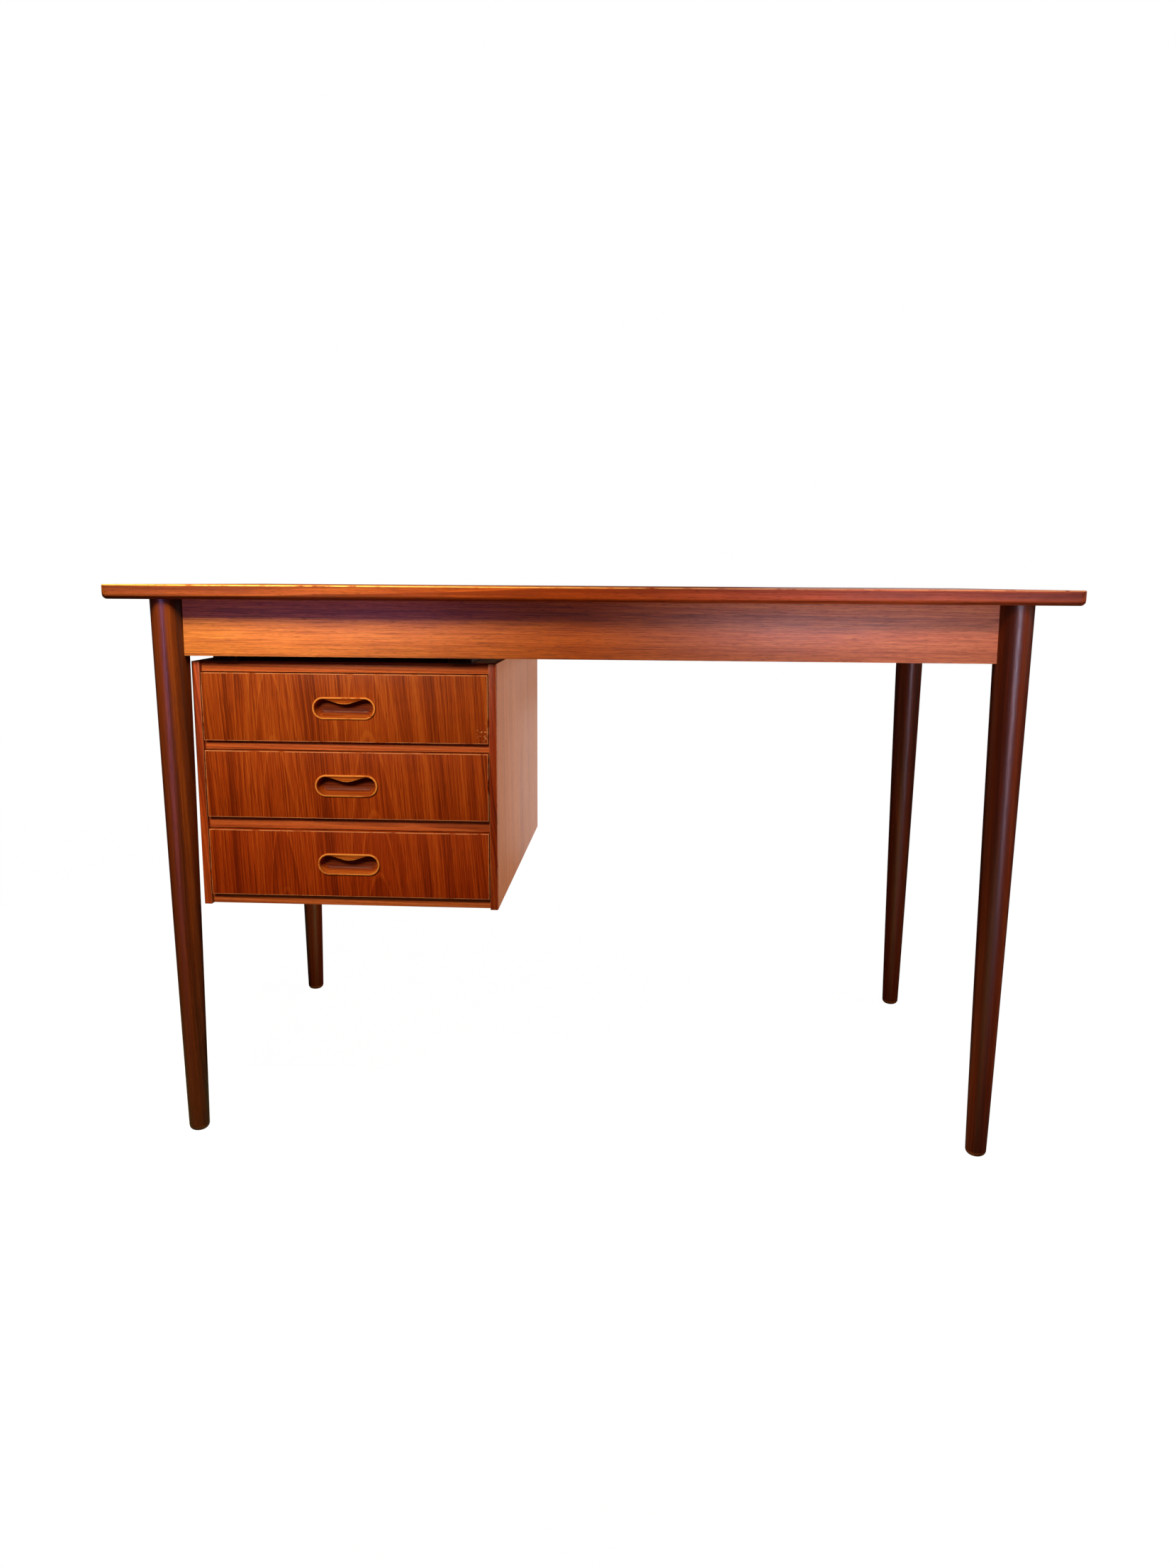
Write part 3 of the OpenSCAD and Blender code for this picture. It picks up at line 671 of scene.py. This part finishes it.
pullSettings = {
    "halfLength": 41 * mm,
    "halfHeight": 14.5 * mm,
    "points": 144,
    "browWidth": 60 * mm,  # the brow is the lip that hangs in the middle of the hollow's upper edge
    "browDrop": 6.2 * mm,
    # in mm: inset from the rim's outline above and below, how far behind the crest, and the brow's share
    "loops": (
        (0.0, 0.0, 2.5, 0.0), (0.0, 0.0, 1.5, 0.0), (0.25, 0.25, 0.75, 0.0), (0.8, 0.8, 0.2, 0.0),
        (1.45, 1.45, 0.0, 0.0), (2.1, 2.1, 0.15, 0.0), (2.6, 2.6, 0.6, 0.0), (2.85, 2.9, 1.2, 0.12),
        (3.0, 3.0, 1.7, 0.45), (3.05, 3.05, 2.0, 0.85), (3.1, 3.1, 2.4, 1.0), (3.1, 3.2, 4.6, 1.0),
        (3.0, 3.3, 5.2, 0.9), (3.0, 3.5, 6.0, 0.0), (3.2, 4.3, 8.5, 0.0), (3.8, 6.0, 11.0, 0.0),
        (5.2, 8.6, 12.8, 0.0), (7.4, 11.2, 13.3, 0.0),
    ),
    # these loops, the rim's crest and the brow's edge, take the pale worn colour: partly rubbing, partly a
    # painted highlight
    "wornLoops": (2, 3, 4, 9),
    "letIn": 2.0,  # the rim laps the pocket by this much, in mm
    "bodyDepth": 16.5,  # in mm
}


def rimPoint(share, inset, settings):
    # a place on the pull's outline, drawn in by the inset, and how squarely it faces up
    halfHeight = settings["halfHeight"]
    straight = settings["halfLength"] - halfHeight
    bend = math.pi * halfHeight
    distance = share * (4 * straight + 2 * bend)
    radius = halfHeight - inset
    parts = ((2 * straight, "top"), (bend, "left"), (2 * straight, "bottom"), (bend, "right"))
    for length, part in parts:
        if distance <= length + 1e-12:
            break
        distance -= length
    if part == "top":
        return straight - distance, radius, 1.0
    if part == "bottom":
        return -straight + distance, -radius, -1.0
    turn = distance / halfHeight + (math.pi / 2 if part == "left" else -math.pi / 2)
    side = -straight if part == "left" else straight
    return side + radius * math.cos(turn), radius * math.sin(turn), math.sin(turn)


def shapeRim(verts, loop, shareLayer, centre, front):
    # puts one loop of the pull in its place
    settings = pullSettings
    above, below, back, brow = loop
    for vert in verts:
        up = rimPoint(vert[shareLayer], 0.0, settings)[2]
        lower = min(1.0, max(0.0, 0.5 - up * 0.75))  # 0 above, 1 below, and a soft change at the ends
        inset = (above + (below - above) * lower * lower * (3 - 2 * lower)) * mm
        x, z, up = rimPoint(vert[shareLayer], inset, settings)
        if up > 0.99 and abs(x) < settings["browWidth"] / 2:
            wave = (1 + math.cos(math.tau * x / settings["browWidth"])) / 2
            z -= settings["browDrop"] * wave * brow
        vert.co = (centre.x + x, front + back * mm, centre.z + z)


def makePull(name, body):
    low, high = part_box(name)
    centre = (low + high) / 2
    settings = pullSettings
    loops = settings["loops"]
    bm = bmesh.new()
    bm.loops.layers.float.new("arris")
    shareLayer = bm.verts.layers.float.new("share")
    count = settings["points"]
    ring = bmesh.ops.create_circle(bm, cap_ends=False, radius=settings["halfHeight"], segments=count)["verts"]
    for number, vert in enumerate(ring):
        vert[shareLayer] = number / count
    shapeRim(ring, loops[0], shareLayer, centre, low.y)

    def nextLoop(edges, loop):
        made = bmesh.ops.extrude_edge_only(bm, edges=edges)["geom"]
        verts = [g for g in made if isinstance(g, bmesh.types.BMVert)]
        shapeRim(verts, loop, shareLayer, centre, low.y)
        return [g for g in made if isinstance(g, bmesh.types.BMEdge)]

    firstEdges = bm.edges[:]
    edges = firstEdges
    worn = []
    for number, loop in enumerate(loops[1:]):  # the rim, the brow and the hollow
        old = set(bm.faces)
        edges = nextLoop(edges, loop)
        if number in settings["wornLoops"]:
            worn += [f for f in bm.faces if f not in old]
    bmesh.ops.contextual_create(bm, geom=edges)
    lap = settings["letIn"]
    edges = nextLoop(firstEdges, (lap, lap, loops[0][2], 0.0))  # the body behind the rim
    edges = nextLoop(edges, (lap, lap, settings["bodyDepth"], 0.0))
    bmesh.ops.contextual_create(bm, geom=edges)
    bmesh.ops.recalc_face_normals(bm, faces=bm.faces[:])
    markArris(bm, bm.faces, 0.0)
    markArris(bm, worn)
    finishPiece(bm, name + "_shaped", body, "pullWood", [name], 60, True)


for level in ("top", "middle", "bottom"):
    drawer = level + "_drawer"
    easedCopy(drawer + "_front", drawer, "frontVeneer", easedSettings["frontArris"])
    makePull(drawer + "_pull", drawer)
    easedCopy(drawer + "_side_left", drawer, "oakWood")
    easedCopy(drawer + "_side_right", drawer, "oakWood")
    easedCopy(drawer + "_back", drawer, "oakBack")
    easedCopy(drawer + "_bottom", drawer, "plywood")
print("drawers made")


# The CAD pieces that stay get their woods, chosen by their slots.

slotMaterials = {"beech": "beechWood", "screw_steel": "steel", "oak": "oakWood", "plywood": "plywood"}
runnerWords = ("runner", "stops")
slotOf = {part["node"]: part["material_slot"] for part in frame["record"]["subparts"]}
for node, piece in frame["nodes"].items():
    if piece.hide_render:
        continue
    slotName = slotOf.get(node, "beech")
    material = slotMaterials.get(slotName, "beechWood")
    if slotName == "beech" and any(word in node for word in runnerWords):
        material = "beechRunner"
    piece.data.materials.clear()
    piece.data.materials.append(materials[material])
    print("kept from the CAD:", node, slotName)


# Floor, light and camera.

studioSettings = {
    "floorSize": 60.0,
    "floorFade": (0.9, 3.2),  # from here to here, the floor melts into the white behind it
    "floorPale": (0.9, 0.9, 0.9),
    "floorDim": (0.12, 0.11, 0.10),  # what the desk itself gets back from the floor
    "floorGlow": 1.12,
    "glowShare": 0.88,
    "air": (0.08, 0.06, 0.055),
    # place, aim, width and height, colour times power, spread in degrees, what it lights
    "lamps": {
        "topLeft": ((-0.46, -0.78, 1.65), (-0.42, -0.27, 0.60), (0.20, 0.36), (6.2, 6.8, 2.8), 60, "frame"),
        "topRight": ((0.50, -0.78, 1.65), (0.46, -0.27, 0.60), (0.10, 0.10), (1.35, 1.05, 1.0), 60, "frame"),
        "front": ((-0.46, -1.02, 1.03), (-0.32, -0.25, 0.47), (0.20, 0.20), (8.8, 8.0, 6.0), 180, "cabinet"),
        "windowLeft": ((-2.1, -4.2, 0.55), (-0.36, -0.27, 0.60), (0.5, 0.8), (0.24, 0.14, 0.36), 8, "frame"),
        "windowRight": ((1.5, -4.2, 0.55), (0.37, -0.27, 0.60), (0.5, 0.8), (0.70, 0.64, 0.85), 8, "frame"),
        "footLeft": ((0.4, -1.0, 0.10), (-0.52, 0.27, 0.15), (0.20, 0.20), (0.15, 0.12, 0.05), 20, "frame"),
        "footRight": ((-0.2, -2.2, 0.15), (0.52, -0.05, 0.12), (0.20, 0.20), (0.17, 0.13, 0.05), 16, "frame"),
        "backFill": ((1.4, 3.2, 1.2), (0.0, 0.0, 0.45), (1.8, 1.6), (10.0, 10.0, 10.0), 180, "all"),
        "lowBack": ((0.12, 1.1, 0.15), (-0.11, 0.0, 0.45), (0.8, 0.6), (1.1, 1.1, 1.1), 180, "cabinet"),
        "rightLow": ((2.4, 0.0, 0.42), (-0.11, 0.0, 0.45), (0.5, 0.6), (24.0, 24.0, 26.0), 120, "cabinet"),
        "sideFill": ((2.6, -0.4, 1.3), (0.0, 0.0, 0.5), (1.2, 1.2), (10.0, 9.0, 8.0), 180, "frame"),
    },
    # names that start like this belong to the frame, and the rest to the cabinet
    "frameWords": ("top_edging", "top_panel", "apron", "leg"),
}
cameraSettings = {
    "place": (0.08377, -1.65155, 0.7356),
    "yaw": -3.1646,  # in degrees, as are the next two
    "pitch": -10.2422,
    "roll": 0.3689,
    "lens": 25.6,
}


def twoFaced(tree, first, second):
    # one surface for the camera, and another for the light that falls on the desk
    seen = addNode(tree, "ShaderNodeLightPath").outputs["Is Camera Ray"]
    return addNode(tree, "ShaderNodeMixShader", {0: seen, 1: first, 2: second}).outputs[0]


def makeFloor():
    bm = bmesh.new()
    bmesh.ops.create_grid(bm, x_segments=8, y_segments=8, size=studioSettings["floorSize"] / 2)
    mesh = bpy.data.meshes.new("floor")
    bm.to_mesh(mesh)
    bm.free()
    floor = bpy.data.objects.new("floor", mesh)
    bpy.context.scene.collection.objects.link(floor)
    made, tree = newMaterial("pale_floor")
    pale, dim = (addNode(tree, "ShaderNodeBsdfDiffuse", {"Color": (*studioSettings[word], 1.0)}).outputs[0]
                 for word in ("floorPale", "floorDim"))
    glow, white = (addNode(tree, "ShaderNodeEmission", {"Color": (1.0, 1.0, 1.0, 1.0), "Strength": power})
                   .outputs[0] for power in (studioSettings["floorGlow"], 1.0))
    values = {0: studioSettings["glowShare"], 1: pale, 2: glow}
    bright = addNode(tree, "ShaderNodeMixShader", values).outputs[0]
    place = addNode(tree, "ShaderNodeTexCoord").outputs["Object"]
    away = addNode(tree, "ShaderNodeVectorMath", {0: place}, operation="LENGTH").outputs["Value"]
    fade = remap(tree, away, *studioSettings["floorFade"])
    bright = addNode(tree, "ShaderNodeMixShader", {0: fade, 1: bright, 2: white}).outputs[0]
    out = addNode(tree, "ShaderNodeOutputMaterial")
    tree.links.new(twoFaced(tree, dim, bright), out.inputs[0])
    mesh.materials.append(made)
    return floor


def makeWorld():
    world = bpy.data.worlds.new("studio")
    bpy.context.scene.world = world
    world.use_nodes = True
    tree = world.node_tree
    tree.nodes.clear()
    air = addNode(tree, "ShaderNodeBackground", {0: (*studioSettings["air"], 1.0)}).outputs[0]
    white = addNode(tree, "ShaderNodeBackground", {0: (1.0, 1.0, 1.0, 1.0)}).outputs[0]
    out = addNode(tree, "ShaderNodeOutputWorld")
    tree.links.new(twoFaced(tree, air, white), out.inputs[0])


def makeLamps(floor):
    groups = {word: bpy.data.collections.new("lit_" + word) for word in ("frame", "cabinet")}
    for piece in [o for o in bpy.context.scene.objects if o.type == "MESH" and not o.hide_render]:
        inFrame = piece.name.startswith(studioSettings["frameWords"]) or piece == floor
        groups["frame" if inFrame else "cabinet"].objects.link(piece)
    for name, (place, aim, size, power, spread, group) in studioSettings["lamps"].items():
        data = bpy.data.lights.new(name, "AREA")
        data.shape = "RECTANGLE"
        data.size, data.size_y = size
        data.energy = max(power)
        data.color = [part / max(power) for part in power]
        data.spread = math.radians(spread)
        lamp = bpy.data.objects.new(name, data)
        lamp.location = place
        lamp.rotation_euler = (Vector(aim) - Vector(place)).to_track_quat("-Z", "Y").to_euler()
        lamp.visible_camera = False
        if group in groups:
            lamp.light_linking.receiver_collection = groups[group]
        bpy.context.scene.collection.objects.link(lamp)


def makeCamera():
    data = bpy.data.cameras.new("camera")
    data.lens = cameraSettings["lens"]
    data.sensor_width = 36.0
    data.clip_end = 100.0
    yaw, pitch, roll = (math.radians(cameraSettings[k]) for k in ("yaw", "pitch", "roll"))
    ahead = Vector((math.sin(yaw) * math.cos(pitch), math.cos(yaw) * math.cos(pitch), math.sin(pitch)))
    side = Vector((math.cos(yaw), -math.sin(yaw), 0.0))
    up = side.cross(ahead)
    right = side * math.cos(roll) + up * math.sin(roll)
    up = up * math.cos(roll) - side * math.sin(roll)
    turn = Matrix((right, up, -ahead)).transposed().to_4x4()
    camera = bpy.data.objects.new("camera", data)
    camera.matrix_world = Matrix.Translation(cameraSettings["place"]) @ turn
    bpy.context.scene.collection.objects.link(camera)
    bpy.context.scene.camera = camera


makeWorld()
makeLamps(makeFloor())
makeCamera()
bpy.context.scene.view_settings.view_transform = "Standard"
print("studio lit")
